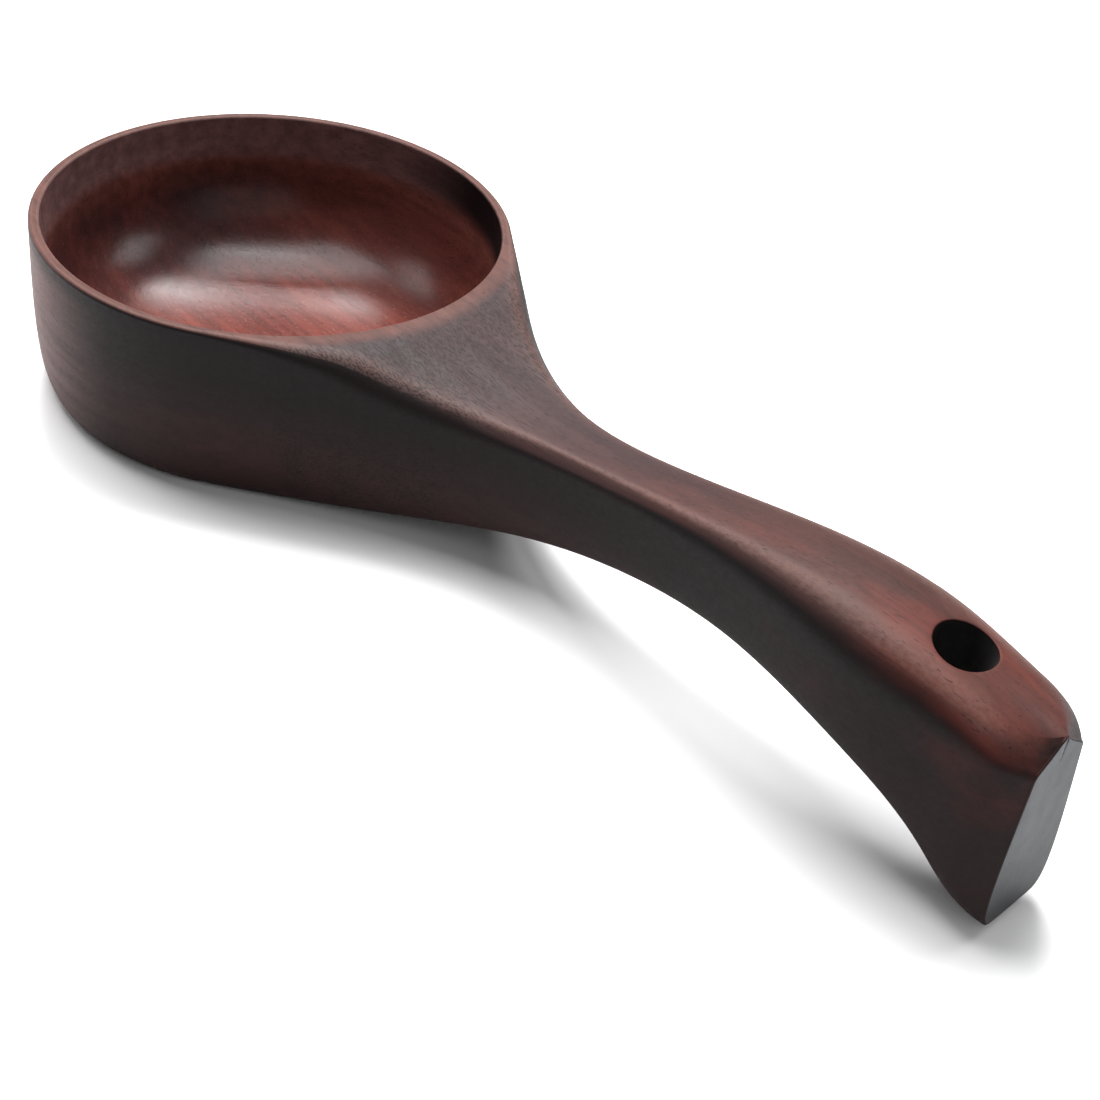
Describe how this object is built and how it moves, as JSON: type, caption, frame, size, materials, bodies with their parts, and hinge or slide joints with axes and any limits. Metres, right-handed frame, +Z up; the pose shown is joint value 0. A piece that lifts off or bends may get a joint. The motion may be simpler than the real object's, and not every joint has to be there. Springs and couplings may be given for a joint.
{
  "type": "carved wooden ladle",
  "caption": "Carved one-piece wooden ladle: round deep bowl with a thin flat rim, waisted neck, arched handle with a sawn end and a hanging hole.",
  "frame": {"origin": "centre of the bowl's flat base, on the surface the ladle stands on", "axes": "+Z up along the bowl's axis, +X from the bowl along the handle to its sawn end"},
  "size_m": [0.2195, 0.088, 0.0393],
  "materials": {
    "stained_wood": "dark red-brown stain under a thin satin oil, grain along the handle"
  },
  "bodies": {
    "root": {"carved_body": "stained_wood"}
  },
  "joints": []
}
